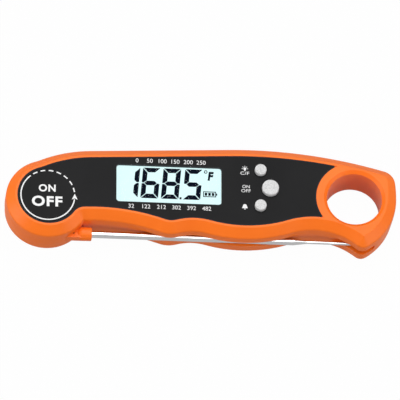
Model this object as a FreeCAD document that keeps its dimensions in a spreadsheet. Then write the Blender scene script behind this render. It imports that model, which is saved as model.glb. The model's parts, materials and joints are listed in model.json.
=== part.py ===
"""Folding probe thermometer: a flat handle with a finger ring, a display and three keys,
and a steel probe on a hub that turns in the round head and folds into the handle's edge.

The thermometer lies on its back, face up (+Z), with the ring end at +X and the probe along
the -Y side. The origin is at the middle of the outline, on the back face. Millimetres.
Sizes live in the spreadsheet; places along the handle follow from the head and ring ends.
"""
import FreeCAD
import Part
import math
import os
import Sketcher
from FreeCAD import Vector

os.makedirs("parts", exist_ok=True)
doc = FreeCAD.newDocument("FoldingThermometer")

SIZES = {
    # housing, overall
    "body_length": 171.0,
    "body_thickness": 18.0,
    "parting_height": 10.2,
    "head_radius": 18.38,
    "head_centre_y": -4.03,
    # lower edge of the outline: two scallops, a bump, a notch and a belly
    "inner_corner_radius": 1.0,
    "grip_scallop_share": 0.1435,
    "grip_scallop_level": -9.7,
    "grip_scallop_radius": 85.5,
    "bump_radius": 12.4,
    "notch_share": 0.4193,
    "notch_level": -13.34,
    "notch_radius": 22.3,
    "belly_radius": 62.0,
    "ring_scallop_offset": 17.3,
    "ring_scallop_level": -10.63,
    "ring_scallop_radius": 30.0,
    "apex_radius": 4.2,
    # ring end and upper edge of the outline
    "side_radius": 27.5,
    "side_straight": 0.8,
    "upper_side_radius": 55.0,
    "side_level": 5.6,
    "corner_radius": 6.5,
    "crest_share": 0.586,
    "crest_level": 26.87,
    "crest_radius": 216.0,
    "shoulder_radius": 60.0,
    "shoulder_angle": 59.54,
    "kink_step": 0.5,
    "kink_radius": 8.0,
    # front rim, recess and ring
    "border_width": 4.75,
    "facet_width": 3.8,
    "facet_drop": 3.7,
    "facet_lower_rounding": 1.6,
    "facet_upper_rounding": 0.3,
    "back_edge_bevel": 1.3,
    "hole_edge_rounding": 0.7,
    "wall_draft": 0.4,
    "hole_radius": 12.1,
    "hole_level": 3.8,
    "ring_end_width": 6.52,
    "ring_wall_width": 4.74,
    "hole_bevel_width": 1.4,
    "hole_bevel_drop": 1.3,
    # walls
    "face_wall": 1.5,
    "back_wall": 2.0,
    "channel_wall": 1.6,
    "hub_wall_gap": 1.92,
    "fit_gap": 0.1,
    "bond_gap": 0.02,
    # face label and display
    "overlay_depth": 0.5,
    "overlay_thickness": 0.4,
    "overlay_tip_rounding": 0.5,
    "window_share": 0.6007,
    "window_level": 7.08,
    "window_height": 18.2,
    "window_corner": 1.5,
    "lens_thickness": 0.9,
    "glass_thickness": 1.8,
    "glass_margin": 0.3,
    "frame_wall": 1.7,
    "frame_gap": 1.45,
    "strip_width": 1.4,
    # circuit board
    "board_top_height": 12.4,
    "board_thickness": 1.0,
    "board_gap": 1.2,
    "board_level": 6.9,
    "board_width": 23.0,
    "inner_board_screw_share": 0.248,
    "outer_board_screw_share": 0.8412,
    "board_screw_inset": 2.0,
    "board_boss_radius": 1.8,
    "board_screw_radius": 0.75,
    "board_screw_head_radius": 1.5,
    "board_screw_head_height": 0.9,
    "chip_inset": 8.05,
    "chip_size": 7.0,
    "chip_height": 1.2,
    "buzzer_inset": 7.5,
    "buzzer_radius": 4.6,
    "buzzer_height": 2.8,
    "reed_inset": 2.7,
    "reed_length": 10.0,
    "reed_radius": 0.95,
    # keys
    "key_level": 6.75,
    "large_key_share": 0.6856,
    "large_key_radius": 3.65,
    "small_key_share": 0.5462,
    "small_key_spacing": 17.0,
    "small_key_radius": 2.53,
    "key_rise": 1.95,
    "key_rounding": 0.45,
    "key_gap": 0.1,
    "key_flange_width": 0.9,
    "key_flange_height": 0.7,
    "key_stem_radius": 1.2,
    "key_travel": 0.5,
    "switch_size": 4.5,
    "switch_height": 1.3,
    "plunger_radius": 1.0,
    "plunger_height": 0.6,
    # housing screws
    "screw_level": 6.5,
    "screw_spacing": 15.0,
    "screw_boss_radius": 2.8,
    "hub_boss_gap": 0.4,
    "ring_boss_gap": 4.86,
    "screw_radius": 0.95,
    "screw_head_radius": 1.9,
    "screw_head_height": 1.4,
    "screw_recess_depth": 2.2,
    "screw_length": 12.0,
    # battery and its door
    "battery_share": 0.4012,
    "battery_level": 7.0,
    "cell_radius": 10.0,
    "cell_height": 3.2,
    "cell_shoulder": 0.53,
    "cell_side_gap": 0.3,
    "well_wall": 1.6,
    "door_flange_width": 2.1,
    "door_flange_height": 0.95,
    "door_recess": 0.15,
    "door_neck_radius": 11.0,
    "door_rim_height": 2.8,
    "door_lug_height": 0.8,
    "door_lug_width": 5.0,
    "door_lug_reach": 12.1,
    "lug_room_gap": 0.5,
    "door_turn": 45.0,
    "door_slot_length": 15.0,
    "door_slot_width": 1.9,
    "door_slot_depth": 1.0,
    "door_seal_radius": 0.35,
    "contact_width": 4.0,
    "contact_thickness": 0.25,
    "contact_foot": 1.0,
    # magnets in the back
    "magnet_radius": 4.0,
    "magnet_height": 1.5,
    # hub and probe
    "hub_gap": 0.1,
    "hub_room_gap": 0.3,
    "trunnion_radius": 7.0,
    "trunnion_gap": 0.05,
    "trunnion_rise": 4.0,
    "lead_hole_radius": 2.6,
    "washer_thickness": 0.3,
    "washer_inner_radius": 4.2,
    "probe_inset": 4.58,
    "web_outward": 2.5,
    "web_inward": 2.3,
    "web_start": 4.6,
    "web_into_collar": 1.0,
    "collar_radius": 3.0,
    "collar_length": 3.8,
    "collar_overhang": 1.22,
    "collar_rounding": 0.5,
    "socket_depth": 7.6,
    "tube_radius": 1.575,
    "tube_bore_radius": 1.2,
    "tube_clearance": 0.325,
    "taper_length": 6.2,
    "needle_radius": 0.74,
    "needle_bore_radius": 0.44,
    "needle_wall": 0.8,
    "needle_length": 24.2,
    "needle_point_length": 2.0,
    "point_radius": 0.2,
    "tip_clearance": 5.3,
    "channel_inward": 2.3,
    "channel_cut": 42.0,
    "channel_end_wall": 9.12,
    "sensor_radius": 0.38,
    "sensor_length": 6.0,
    "lead_width": 1.2,
    "lead_gap": 0.2,
    "hub_magnet_x": 13.4,
    "hub_magnet_y": 5.2,
    "hub_magnet_radius": 2.0,
    "hub_magnet_height": 2.5,
}

sheet = doc.addObject("Spreadsheet::Sheet", "Sizes")
for row, (alias, number) in enumerate(SIZES.items(), start=1):
    sheet.set(f"A{row}", alias.replace("_", " "))
    sheet.set(f"B{row}", str(number))
    sheet.setAlias(f"B{row}", alias)
doc.recompute()


class Size:
    """A length with its spreadsheet formula, so one term sets a shape and binds it."""

    def __init__(self, formula, number):
        self.formula = formula
        self.number = number

    @staticmethod
    def of(term):
        return term if isinstance(term, Size) else Size(str(float(term)), float(term))

    def __add__(self, other):
        other = Size.of(other)
        return Size(f"({self.formula} + {other.formula})", self.number + other.number)

    def __sub__(self, other):
        other = Size.of(other)
        return Size(f"({self.formula} - {other.formula})", self.number - other.number)

    def __mul__(self, factor):
        other = Size.of(factor)
        return Size(f"({self.formula} * {other.formula})", self.number * other.number)

    def __truediv__(self, divisor):
        other = Size.of(divisor)
        return Size(f"({self.formula} / {other.formula})", self.number / other.number)

    def __neg__(self):
        return Size(f"(0 - {self.formula})", -self.number)

    def cosine(self):
        """Cosine of an angle held in degrees."""
        return Size(f"cos({self.formula} * 1 deg)", math.cos(math.radians(self.number)))

    def sine(self):
        """Sine of an angle held in degrees."""
        return Size(f"sin({self.formula} * 1 deg)", math.sin(math.radians(self.number)))


class Sheet:
    """Every spreadsheet cell as a Size, read by its alias."""

    def __getattr__(self, alias):
        return Size(f"Sizes.{alias}", float(sheet.get(alias)))


dim = Sheet()
ZERO = Size.of(0)

# Places along the handle. The window, keys and board share out the room between the bosses.
head_x = dim.head_radius - dim.body_length / 2
ring_end = dim.body_length / 2
reach = ring_end - head_x
hole_x = ring_end - dim.ring_end_width - dim.hole_radius
ring_wall_radius = dim.hole_radius + dim.ring_wall_width
hub_wall_radius = dim.head_radius + dim.hub_wall_gap
hub_boss_x = head_x + hub_wall_radius + dim.hub_boss_gap + dim.screw_boss_radius
ring_boss_x = hole_x - ring_wall_radius - dim.ring_boss_gap - dim.screw_boss_radius
room_left = hub_boss_x + dim.screw_boss_radius
room_right = ring_boss_x - dim.screw_boss_radius
window_left = room_left + dim.frame_gap + dim.frame_wall
window_width = (room_right - window_left) * dim.window_share
window_x = window_left + window_width / 2
key_room_left = window_left + window_width
key_room = room_right - key_room_left
board_left = room_left + dim.board_gap
board_right = room_right - dim.board_gap
battery_x = hub_boss_x + (ring_boss_x - hub_boss_x) * dim.battery_share
channel_end = ring_end - dim.channel_end_wall
collar_end = dim.head_radius + dim.collar_overhang
tube_root = collar_end - dim.socket_depth

# Places across the handle, and heights.
head_y = dim.head_centre_y
hole_y = head_y + dim.hole_level
window_y = head_y + dim.window_level
key_y = head_y + dim.key_level
battery_y = head_y + dim.battery_level
probe_offset = dim.head_radius - dim.probe_inset
overlay_floor = dim.body_thickness - dim.overlay_depth
overlay_top = overlay_floor + dim.overlay_thickness
cavity_roof = overlay_floor - dim.face_wall
board_bottom = dim.board_top_height - dim.board_thickness
probe_height = dim.parting_height - dim.tube_radius - dim.tube_clearance
slot_floor = probe_height - dim.tube_radius - dim.tube_clearance

# Heights and radii that seats and the pieces on them share.
screw_tip = dim.screw_recess_depth + dim.screw_length
board_screw_tip = cavity_roof - dim.board_screw_radius
flange_radius = dim.door_neck_radius + dim.door_flange_width
flange_top = dim.door_recess + dim.door_flange_height
door_seat_depth = flange_top + dim.door_seal_radius * 2 + dim.fit_gap
lug_bottom = dim.door_rim_height + dim.fit_gap
lug_top = lug_bottom + dim.door_lug_height
lug_room_radius = dim.door_lug_reach + dim.lug_room_gap
cell_bottom = lug_top + dim.fit_gap
cell_top = cell_bottom + dim.cell_height
well_top = cell_top + dim.fit_gap * 2
trunnion_bottom = slot_floor - dim.trunnion_rise
back_bearing_depth = dim.trunnion_rise + dim.washer_thickness + dim.trunnion_gap
lens_bottom = overlay_top - dim.lens_thickness
glass_top = lens_bottom - dim.fit_gap
glass_bottom = glass_top - dim.glass_thickness
glass_width = window_width - dim.glass_margin * 2
glass_height = dim.window_height - dim.glass_margin * 2
disc_bottom = slot_floor + dim.hub_gap
disc_top = dim.parting_height - dim.hub_gap


# ---------------------------------------------------------------- outline geometry

class Step:
    """One stretch of a closed outline that is walked with its inside on the left.

    turn is +1 where the path turns left and -1 where it turns right. A step with a centre
    is placed by it; one without is a blend that touches both neighbours; one without a
    radius is a straight line. corner says which crossing with the next step is meant, where
    the two meet at an angle instead of running on smoothly.
    """

    def __init__(self, turn=0, radius=None, x=None, y=None, corner=None):
        self.turn = turn
        self.radius = radius
        self.x = x
        self.y = y
        self.corner = corner

    @property
    def bend(self):
        """Signed radius: positive when the centre is on the path's left."""
        return self.turn * self.radius.number


def crossings(centre_a, radius_a, centre_b, radius_b):
    """Both points at the given distances from two centres."""
    between = centre_b - centre_a
    distance = between.Length
    along = (radius_a ** 2 - radius_b ** 2 + distance ** 2) / (2 * distance)
    across = math.sqrt(max(radius_a ** 2 - along ** 2, 0.0))
    ahead = between / distance
    left = Vector(-ahead.y, ahead.x, 0)
    foot = centre_a + ahead * along
    return foot + left * across, foot - left * across


def touch(centre_a, bend_a, centre_b, bend_b):
    """Point where two smoothly joined arcs meet: on the line through their centres."""
    normal = (centre_a - centre_b) / (bend_a - bend_b)
    return centre_a - normal * bend_a


def swept(centre, start, end, turn):
    """Angle that an arc covers from start to end, going the way it turns."""
    first = math.atan2(start.y - centre.y, start.x - centre.x)
    last = math.atan2(end.y - centre.y, end.x - centre.x)
    return (turn * (last - first)) % (2 * math.pi)


def blend_centre(step, before, after):
    """Centre of the arc that touches both neighbours, on the side that sweeps less."""
    options = []
    for centre in crossings(before.centre, abs(step.bend - before.bend),
                            after.centre, abs(step.bend - after.bend)):
        start = touch(before.centre, before.bend, centre, step.bend)
        end = touch(centre, step.bend, after.centre, after.bend)
        options.append((swept(centre, start, end, step.turn), centre))
    return min(options, key=lambda option: option[0])[1]


def line_normal(before, after):
    """Left normal of the straight line that leaves one arc and runs into the next."""
    between = after.centre - before.centre
    distance = between.Length
    ahead = between / distance
    left = Vector(-ahead.y, ahead.x, 0)
    lean = (after.bend - before.bend) / distance
    return ahead * lean + left * math.sqrt(1 - lean ** 2)


def join(before, step, after):
    """Point where step starts and the straight line or arc before it ends."""
    if before.corner:
        pair = crossings(before.centre, before.radius.number, step.centre, step.radius.number)
        pick = min if before.corner == "left" else max
        return pick(pair, key=lambda point: point.x)
    if step.radius is None:
        return before.centre - line_normal(before, after) * before.bend
    return touch(before.centre, before.bend, step.centre, step.bend)


class Drawing:
    """A sketch of one body; each curve is held by constraints bound to the sheet."""

    def __init__(self, body, name, plane="XY_Plane", lift=ZERO, rise=ZERO):
        self.sketch = body.newObject("Sketcher::SketchObject", name)
        planes = [item for item in body.Origin.OriginFeatures if item.Role == plane]
        self.sketch.AttachmentSupport = [(planes[0], "")]
        self.sketch.MapMode = "FlatFace"
        self.sketch.setExpression("AttachmentOffset.Base.z", lift.formula)
        self.sketch.setExpression("AttachmentOffset.Base.y", rise.formula)

    def bind(self, size, kind, *places):
        place = self.sketch.addConstraint(Sketcher.Constraint(kind, *places, size.number))
        self.sketch.setExpression(f"Constraints[{place}]", size.formula)

    def pin(self, curve, point, x, y):
        """Holds one point of a curve at a place counted from the sketch's origin."""
        self.bind(x, "DistanceX", -1, 1, curve, point)
        self.bind(y, "DistanceY", -1, 1, curve, point)

    def circle(self, x, y, radius):
        centre = Vector(x.number, y.number, 0)
        curve = self.sketch.addGeometry(Part.Circle(centre, Vector(0, 0, 1), radius.number))
        self.pin(curve, 3, x, y)
        self.bind(radius, "Radius", curve)

    def polygon(self, corners):
        """Closed straight-sided loop through corners given as (x, y) sizes."""
        points = [Vector(x.number, y.number, 0) for x, y in corners]
        sides = []
        for start, end in zip(points, points[1:] + points[:1]):
            sides.append(self.sketch.addGeometry(Part.LineSegment(start, end)))
        for side, following in zip(sides, sides[1:] + sides[:1]):
            self.sketch.addConstraint(Sketcher.Constraint("Coincident", side, 2, following, 1))
        for side, (x, y) in zip(sides, corners):
            self.pin(side, 1, x, y)

    def rectangle(self, x, y, width, height):
        """Upright rectangle about its centre."""
        left, right = x - width / 2, x + width / 2
        low, high = y - height / 2, y + height / 2
        self.polygon([(left, low), (right, low), (right, high), (left, high)])

    def rounded_rectangle(self, x, y, width, height, radius):
        """Rectangle about its centre with four equal round corners."""
        reach_x = width / 2 - radius
        reach_y = height / 2 - radius
        steps = []
        for side_x, side_y in ((1, -1), (1, 1), (-1, 1), (-1, -1)):
            steps.append(Step(1, radius, x + reach_x * side_x, y + reach_y * side_y))
            steps.append(Step())
        self.loop(steps)

    def loop(self, steps):
        """Closed outline of arcs, blends and lines."""
        count = len(steps)
        around = [(steps[i - 1], steps[i], steps[(i + 1) % count]) for i in range(count)]
        for step in steps:
            if step.x is not None:
                step.centre = Vector(step.x.number, step.y.number, 0)
        for before, step, after in around:
            if step.radius is not None and step.x is None:
                step.centre = blend_centre(step, before, after)
        for before, step, after in around:
            if before.radius is None:
                first = steps[steps.index(before) - 1]
                step.start = step.centre - line_normal(first, step) * step.bend
            else:
                step.start = join(before, step, after)
        for before, step, after in around:
            self.add_step(step, after)
        for before, step, after in around:
            kind = "Coincident" if step.corner else "Tangent"
            self.sketch.addConstraint(
                Sketcher.Constraint(kind, step.curve, step.leave, after.curve, after.enter))
        for step in steps:
            if step.radius is not None:
                self.bind(step.radius, "Radius", step.curve)
            if step.x is not None:
                self.pin(step.curve, 3, step.x, step.y)

    def add_step(self, step, after):
        """Draws one step; a right-hand arc is stored from its end to its start."""
        step.enter, step.leave = (2, 1) if step.turn < 0 else (1, 2)
        if step.radius is None:
            step.curve = self.sketch.addGeometry(Part.LineSegment(step.start, after.start))
            return
        ends = (step.start, after.start) if step.turn > 0 else (after.start, step.start)
        angles = [math.atan2(end.y - step.centre.y, end.x - step.centre.x) for end in ends]
        circle = Part.Circle(step.centre, Vector(0, 0, 1), step.radius.number)
        step.curve = self.sketch.addGeometry(Part.ArcOfCircle(circle, *angles))


def housing_outline(inset, left_end="head", right_end="ring", ring_gap=ZERO):
    """Side profile of the handle, moved inwards by inset.

    It can end in the head's round and the ring's outer side, or in an arc that keeps its
    distance from the hub (left) or from the finger hole (right, wider by ring_gap).
    """
    grip_y = head_y + dim.grip_scallop_level - dim.grip_scallop_radius
    notch_y = head_y + dim.notch_level - dim.notch_radius
    ring_y = head_y + dim.ring_scallop_level - dim.ring_scallop_radius
    lower = [
        Step(-1, dim.grip_scallop_radius + inset, head_x + reach * dim.grip_scallop_share,
             grip_y),
        Step(1, dim.bump_radius - inset),
        Step(-1, dim.notch_radius + inset, head_x + reach * dim.notch_share, notch_y),
        Step(1, dim.belly_radius - inset),
        Step(-1, dim.ring_scallop_radius + inset, hole_x - dim.ring_scallop_offset, ring_y),
    ]
    crest_y = head_y + dim.crest_level - dim.crest_radius
    shoulder_reach = dim.shoulder_radius - dim.head_radius + dim.kink_step
    upper = [
        Step(1, dim.crest_radius - inset, head_x + reach * dim.crest_share, crest_y),
        Step(),
        Step(1, dim.shoulder_radius - inset,
             head_x + shoulder_reach * dim.shoulder_angle.cosine(),
             head_y - shoulder_reach * dim.shoulder_angle.sine()),
    ]
    if left_end == "head":
        start = [Step(1, dim.head_radius - inset, head_x, head_y),
                 Step(-1, dim.inner_corner_radius + inset)]
        finish = [Step(-1, dim.kink_radius + inset)]
    else:
        start = [Step(-1, hub_wall_radius, head_x, head_y, corner="right")]
        finish = []
        upper[-1].corner = "right"
    side_y = head_y + dim.side_level
    if right_end == "ring":
        turn = [Step(1, dim.apex_radius - inset),
                Step(1, dim.side_radius - inset, ring_end - dim.side_radius, side_y),
                Step(),
                Step(1, dim.upper_side_radius - inset, ring_end - dim.upper_side_radius,
                     side_y + dim.side_straight),
                Step(1, dim.corner_radius - inset)]
    else:
        turn = [Step(-1, ring_wall_radius + ring_gap, hole_x, hole_y, corner="left")]
        lower[-1].corner = "left"
    return start + lower + turn + upper + finish


# ---------------------------------------------------------------- feature helpers

pieces = []


def new_body(label, x=ZERO, y=ZERO, z=ZERO):
    """Starts a piece; its name is also its file's name."""
    body = doc.addObject("PartDesign::Body", "Body_" + label)
    body.Label = label
    body.AllowCompound = True
    for axis, size in (("x", x), ("y", y), ("z", z)):
        body.setExpression(f"Placement.Base.{axis}", size.formula)
    pieces.append(body)
    return body


def extrude(body, kind, drawing, depth, reverse=False):
    """Pads or pockets a drawing; reverse makes a pocket cut upwards."""
    feature = body.newObject("PartDesign::" + kind, f"{kind}_{drawing.sketch.Name}")
    feature.Profile = drawing.sketch
    feature.setExpression("Length", depth.formula)
    feature.Reversed = reverse
    drawing.sketch.Visibility = False
    return feature


def pad(body, drawing, height):
    return extrude(body, "Pad", drawing, height)


def cut_up(body, drawing, height):
    """Removes material from the sketch plane upwards."""
    return cut(body, drawing, height, True)


def cut(body, drawing, depth, reverse=False):
    """Removes material from the sketch plane downwards, and sees that some was removed."""
    doc.recompute()
    before = body.Shape.Volume
    feature = extrude(body, "Pocket", drawing, depth, reverse)
    doc.recompute()
    if body.Shape.Volume >= before:
        raise ValueError(f"{feature.Name} removes nothing")
    return feature


def revolve(body, drawing, axis="H_Axis", kind="Revolution"):
    feature = body.newObject("PartDesign::" + kind, f"{kind}_{drawing.sketch.Name}")
    feature.Profile = drawing.sketch
    feature.ReferenceAxis = (drawing.sketch, [axis])
    feature.Angle = 360
    drawing.sketch.Visibility = False
    return feature


def loft(body, drawings):
    """Straight-sided transition through outlines that have the same steps."""
    sketches = [drawing.sketch for drawing in drawings]
    feature = body.newObject("PartDesign::AdditiveLoft", "Loft_" + sketches[0].Name)
    feature.Profile = sketches[0]
    feature.Sections = sketches[1:]
    feature.Ruled = True
    for sketch in sketches:
        sketch.Visibility = False
    return feature


def rim_edges(body, height, keep=None):
    """Names of the edges that lie level at one height."""
    doc.recompute()
    names = []
    for place, edge in enumerate(body.Shape.Edges, start=1):
        box = edge.BoundBox
        level = abs(box.ZMin - height.number) < 1e-4 and abs(box.ZMax - height.number) < 1e-4
        if level and (keep is None or keep(edge)):
            names.append(f"Edge{place}")
    return names


def around_hole(edge):
    """Whether an edge belongs to the finger hole."""
    if not hasattr(edge.Curve, "Radius"):
        return False
    centre = edge.Curve.Center
    return math.hypot(centre.x - hole_x.number, centre.y - hole_y.number) < 1e-3


def tip_edges(body):
    """Names of the label's upright edges on its ring side, where two arcs meet at an angle."""
    doc.recompute()
    names = []
    for place, edge in enumerate(body.Shape.Edges, start=1):
        box = edge.BoundBox
        upright = box.ZLength > dim.overlay_thickness.number / 2
        reach_out = math.hypot(box.Center.x - hole_x.number, box.Center.y - hole_y.number)
        wall = ring_wall_radius.number + dim.fit_gap.number
        if upright and abs(reach_out - wall) < dim.bond_gap.number:
            names.append(f"Edge{place}")
    return names


def bevel(body, edges, across, down):
    """Sloped facet: across is its width in plan and down its height."""
    feature = body.newObject("PartDesign::Chamfer", "Facet")
    feature.Base = (body.Group[-2], edges)
    feature.ChamferType = "Two distances"
    feature.setExpression("Size", across.formula)
    feature.setExpression("Size2", down.formula)
    doc.recompute()
    return feature


def round_off(body, edges, radius):
    feature = body.newObject("PartDesign::Fillet", "Rounding")
    feature.Base = (body.Group[-2], edges)
    feature.setExpression("Radius", radius.formula)
    doc.recompute()
    return feature


def in_pairs(columns, y, spacing):
    """Two places, one above the other about y, in each column."""
    return [(x, y + spacing / 2 * side) for x in columns for side in (-1, 1)]


screw_places = in_pairs([hub_boss_x, ring_boss_x], head_y + dim.screw_level, dim.screw_spacing)
board_screw_places = in_pairs(
    [key_room_left + key_room * share
     for share in (dim.inner_board_screw_share, dim.outer_board_screw_share)],
    head_y + dim.board_level, dim.board_width - dim.board_screw_inset * 2)
well_radius = lug_room_radius + dim.well_wall
magnet_places = [((room_left + battery_x - well_radius) / 2, battery_y),
                 ((room_right + battery_x + well_radius) / 2, battery_y)]
large_key_x = key_room_left + key_room * dim.large_key_share
small_key_x = key_room_left + key_room * dim.small_key_share
keys = {"button_light": (small_key_x, key_y + dim.small_key_spacing / 2, dim.small_key_radius),
        "button_hold": (large_key_x, key_y, dim.large_key_radius),
        "button_alarm": (small_key_x, key_y - dim.small_key_spacing / 2, dim.small_key_radius)}


def circles(body, name, places, radius, lift):
    """Drawing of equal circles at several places."""
    drawing = Drawing(body, name, lift=lift)
    for x, y in places:
        drawing.circle(x, y, radius)
    return drawing


# ---------------------------------------------------------------- housing

def make_front_shell():
    """Front half: sloped rim, recess for the label, display and key openings, ribs inside."""
    body = new_body("front_shell")
    outline = Drawing(body, "FrontOutline", lift=dim.parting_height)
    outline.loop(housing_outline(ZERO))
    facet_foot = dim.body_thickness - dim.facet_drop
    pad(body, outline, facet_foot - dim.parting_height)
    facet_start = Drawing(body, "FacetFoot", lift=facet_foot)
    facet_start.loop(housing_outline(ZERO))
    facet_end = Drawing(body, "FacetTop", lift=dim.body_thickness)
    facet_end.loop(housing_outline(dim.facet_width))
    loft(body, [facet_start, facet_end])
    round_off(body, rim_edges(body, facet_foot), dim.facet_lower_rounding)
    round_off(body, rim_edges(body, dim.body_thickness), dim.facet_upper_rounding)
    finger_hole = circles(body, "FrontHole", [(hole_x, hole_y)], dim.hole_radius,
                          dim.body_thickness)
    cut(body, finger_hole, dim.body_thickness - dim.parting_height)
    bevel(body, rim_edges(body, dim.body_thickness, around_hole),
          dim.hole_bevel_width, dim.hole_bevel_drop)

    recess = Drawing(body, "LabelRecess", lift=dim.body_thickness)
    recess.loop(housing_outline(dim.border_width, right_end="hole"))
    cut(body, recess, dim.overlay_depth)
    cavity = Drawing(body, "FrontCavity", lift=dim.parting_height)
    cavity.loop(housing_outline(dim.border_width, "hub", "hole"))
    cut_up(body, cavity, cavity_roof - dim.parting_height)
    bearing = circles(body, "FrontBearing", [(head_x, head_y)],
                      dim.trunnion_radius + dim.trunnion_gap, dim.parting_height)
    cut_up(body, bearing, dim.trunnion_rise + dim.hub_gap)
    passage = Drawing(body, "LeadPassage", lift=dim.parting_height)
    passage.rectangle(head_x + hub_wall_radius / 2, head_y,
                      hub_wall_radius + dim.lead_hole_radius, dim.lead_hole_radius)
    cut_up(body, passage, dim.trunnion_rise)

    window = Drawing(body, "WindowOpening", lift=overlay_floor)
    window.rounded_rectangle(window_x, window_y, window_width, dim.window_height,
                             dim.window_corner)
    cut(body, window, dim.face_wall)
    key_holes = Drawing(body, "KeyHoles", lift=overlay_floor)
    for x, y, radius in keys.values():
        key_holes.circle(x, y, radius + dim.key_gap)
    cut(body, key_holes, dim.face_wall)

    bosses = circles(body, "ScrewBosses", screw_places, dim.screw_boss_radius,
                     dim.parting_height)
    pad(body, bosses, cavity_roof - dim.parting_height)
    board_bosses = circles(body, "BoardBosses", board_screw_places, dim.board_boss_radius,
                           dim.board_top_height)
    pad(body, board_bosses, cavity_roof - dim.board_top_height)
    pilots = circles(body, "ScrewPilots", screw_places, dim.screw_radius + dim.fit_gap,
                     dim.parting_height)
    cut_up(body, pilots, screw_tip - dim.parting_height + dim.fit_gap)
    board_pilots = circles(body, "BoardPilots", board_screw_places,
                           dim.board_screw_radius + dim.fit_gap, dim.board_top_height)
    cut_up(body, board_pilots, board_screw_tip - dim.board_top_height + dim.fit_gap)


def make_back_shell():
    """Back half: channel for the probe, room for the hub, battery well and screw bosses."""
    body = new_body("back_shell")
    levels = (("BackRim", ZERO, dim.wall_draft + dim.back_edge_bevel),
              ("BackFoot", dim.back_edge_bevel, dim.wall_draft),
              ("BackParting", dim.parting_height, ZERO))
    outlines = []
    for name, height, inset in levels:
        outlines.append(Drawing(body, name, lift=height))
        outlines[-1].loop(housing_outline(inset))
    loft(body, outlines)
    finger_hole = circles(body, "BackHole", [(hole_x, hole_y)], dim.hole_radius,
                          dim.parting_height)
    cut(body, finger_hole, dim.parting_height)
    round_off(body, rim_edges(body, ZERO, around_hole), dim.hole_edge_rounding)

    slot_height = dim.parting_height - slot_floor
    hub_room = circles(body, "HubRoom", [(head_x, head_y)],
                       dim.head_radius + dim.hub_room_gap, slot_floor)
    cut_up(body, hub_room, slot_height)
    channel = Drawing(body, "ProbeChannel", lift=slot_floor)
    channel_start = head_x + dim.head_radius
    channel.rectangle((channel_start + channel_end) / 2,
                      head_y - probe_offset + dim.channel_inward - dim.channel_cut / 2,
                      channel_end - channel_start, dim.channel_cut)
    cut_up(body, channel, slot_height)
    bearing = circles(body, "BackBearing", [(head_x, head_y)],
                      dim.trunnion_radius + dim.trunnion_gap, slot_floor)
    cut(body, bearing, back_bearing_depth)
    cavity = Drawing(body, "BackCavity", lift=dim.parting_height)
    cavity.loop(housing_outline(dim.border_width + dim.channel_wall, "hub", "hole"))
    cut(body, cavity, dim.parting_height - dim.back_wall)

    bosses = circles(body, "BackScrewBosses", screw_places, dim.screw_boss_radius,
                     dim.back_wall)
    pad(body, bosses, dim.parting_height - dim.back_wall)
    well = circles(body, "BatteryWell", [(battery_x, battery_y)], well_radius, dim.back_wall)
    pad(body, well, well_top - dim.back_wall)
    magnet_bosses = circles(body, "MagnetBosses", magnet_places,
                            dim.magnet_radius + dim.back_wall / 2, dim.back_wall)
    pad(body, magnet_bosses, dim.back_wall / 2)

    screw_holes = circles(body, "ScrewHoles", screw_places, dim.screw_radius + dim.fit_gap,
                          dim.parting_height)
    cut(body, screw_holes, dim.parting_height)
    head_recesses = circles(body, "ScrewRecesses", screw_places,
                            dim.screw_head_radius + dim.fit_gap, ZERO)
    cut_up(body, head_recesses, dim.screw_recess_depth)
    magnet_pockets = circles(body, "MagnetPockets", magnet_places,
                             dim.magnet_radius + dim.fit_gap, ZERO)
    cut_up(body, magnet_pockets, dim.magnet_height + dim.fit_gap)
    cell_room = circles(body, "CellRoom", [(battery_x, battery_y)],
                        dim.cell_radius + dim.cell_side_gap, well_top)
    cut(body, cell_room, well_top - lug_top - dim.fit_gap)
    lug_room = circles(body, "LugRoom", [(battery_x, battery_y)], lug_room_radius,
                       lug_top + dim.fit_gap)
    cut(body, lug_room, lug_top + dim.fit_gap - dim.door_rim_height)
    neck_hole = circles(body, "NeckHole", [(battery_x, battery_y)],
                        dim.door_neck_radius + dim.fit_gap, dim.door_rim_height)
    cut(body, neck_hole, dim.door_rim_height)
    door_seat = circles(body, "DoorSeat", [(battery_x, battery_y)],
                        flange_radius + dim.fit_gap, ZERO)
    cut_up(body, door_seat, door_seat_depth)
    lug_gates = Drawing(body, "LugGates", lift=dim.door_rim_height)
    draw_lugs(lug_gates, dim.fit_gap * 2, -dim.door_turn)
    cut(body, lug_gates, dim.door_rim_height - door_seat_depth)
    contact_slot = Drawing(body, "ContactSlot", lift=well_top)
    contact_slot.rectangle(battery_x, battery_y + dim.cell_radius + dim.contact_thickness * 2,
                           dim.contact_width + dim.fit_gap * 4, dim.contact_thickness * 4)
    cut(body, contact_slot, well_top - lug_top - dim.fit_gap)


def draw_lugs(drawing, gap, angle):
    """Two opposite bayonet lugs as one bar across the door, turned by an angle."""
    reach = dim.door_lug_reach + gap
    half_width = dim.door_lug_width / 2 + gap
    corners = []
    for side_x, side_y in ((-1, -1), (1, -1), (1, 1), (-1, 1)):
        along, across = reach * side_x, half_width * side_y
        corners.append((battery_x + along * angle.cosine() - across * angle.sine(),
                        battery_y + along * angle.sine() + across * angle.cosine()))
    drawing.polygon(corners)


# ---------------------------------------------------------------- face and display

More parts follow.
